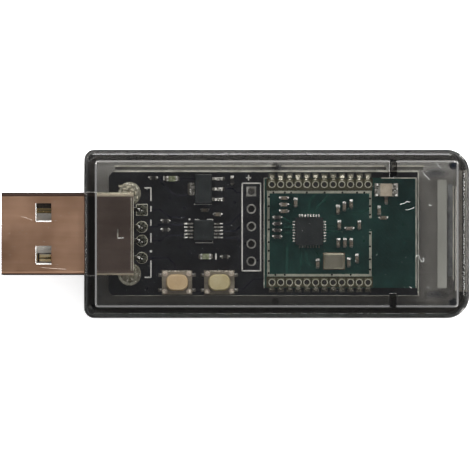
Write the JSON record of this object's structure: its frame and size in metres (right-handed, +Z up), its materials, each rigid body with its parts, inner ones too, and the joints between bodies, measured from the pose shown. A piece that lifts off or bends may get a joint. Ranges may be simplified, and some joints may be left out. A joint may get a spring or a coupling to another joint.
{
  "type": "usb radio stick",
  "caption": "Smoke-clear plastic USB stick with a main board, a soldered radio board, push switches and a metal plug on its end.",
  "frame": {"origin": "bottom centre of the whole stick, on the surface that its flat underside lies on", "axes": "+X along the stick away from the plug, +Z up out of the face that shows the parts, +Y across the stick"},
  "size_m": [0.068, 0.0244, 0.01],
  "materials": {
    "smoked_plastic": "clear smoked polycarbonate, glossy",
    "blue_black_board": "near-black glossy solder mask",
    "green_board": "dark teal-green glossy solder mask",
    "copper_toned_steel": "thin formed sheet, warm copper reflection",
    "pale_insulator": "off-white moulded insulator",
    "gold_contact": "gold-flashed spring contact",
    "solder": "bright solder",
    "tinned_copper": "tinned copper plating",
    "black_plastic": "black moulded resin",
    "switch_resin": "pale beige moulded resin",
    "switch_metal": "thin stamped cover, satin",
    "spring_steel": "polished spring strip",
    "tan_button": "orange-tan moulded button",
    "sand_button": "yellowish-tan moulded button",
    "tinned_leads": "tinned ends and legs",
    "crystal_tray": "dark ceramic tray",
    "crystal_metal": "nickel lid, warm satin",
    "antenna_ceramic": "beige-brown ceramic",
    "capacitor_ceramic": "grey-brown ceramic",
    "resistor_ceramic": "black film on ceramic",
    "inductor_ceramic": "red-brown ceramic",
    "light_board": "pale carrier",
    "light_resin": "pale greenish clear resin"
  },
  "bodies": {
    "stick": {"case_bottom": "smoked_plastic", "case_top": "smoked_plastic", "main_board": "blue_black_board", "radio_board": "green_board", "usb_shell": "copper_toned_steel", "usb_insulator": "pale_insulator", "usb_contact_1": "gold_contact", "usb_contact_2": "gold_contact", "usb_contact_3": "gold_contact", "usb_contact_4": "gold_contact", "pin_solder": "solder", "shell_solder": "solder", "radio_board_solder": "solder", "radio_chip_pads": "solder", "header_rings": "tinned_copper", "radio_board_pads": "tinned_copper", "shield_strip": "tinned_copper", "regulator_body": "black_plastic", "serial_chip": "black_plastic", "radio_chip": "black_plastic", "left_switch_base": "switch_resin", "right_switch_base": "switch_resin", "left_switch_cover": "switch_metal", "right_switch_cover": "switch_metal", "left_switch_feet": "switch_metal", "right_switch_feet": "switch_metal", "left_switch_dome": "spring_steel", "right_switch_dome": "spring_steel", "regulator_leads": "tinned_leads", "serial_chip_leads": "tinned_leads", "antenna_ends": "tinned_leads", "radio_board_capacitor_ends": "tinned_leads", "radio_board_resistor_ends": "tinned_leads", "radio_board_inductor_ends": "tinned_leads", "main_board_resistor_ends": "tinned_leads", "main_board_capacitor_ends": "tinned_leads", "power_light_ends": "tinned_leads", "status_light_ends": "tinned_leads", "crystal_base": "crystal_tray", "crystal_can": "crystal_metal", "antenna_chip": "antenna_ceramic", "radio_board_capacitors": "capacitor_ceramic", "main_board_capacitors": "capacitor_ceramic", "radio_board_resistors": "resistor_ceramic", "main_board_resistors": "resistor_ceramic", "radio_board_inductors": "inductor_ceramic", "power_light_base": "light_board", "status_light_base": "light_board", "power_light_lens": "light_resin", "status_light_lens": "light_resin"},
    "left_button": {"left_switch_button": "tan_button"},
    "right_button": {"right_switch_button": "sand_button"}
  },
  "joints": [
    {"name": "left_button_press", "type": "slide", "parent": "stick", "child": "left_button", "axis": [0, 0, -1], "range_m": [0, 0.00025], "stiffness_N_per_m": 6400, "deforming": ["left_switch_dome"]},
    {"name": "right_button_press", "type": "slide", "parent": "stick", "child": "right_button", "axis": [0, 0, -1], "range_m": [0, 0.00025], "stiffness_N_per_m": 6400, "deforming": ["right_switch_dome"]}
  ]
}
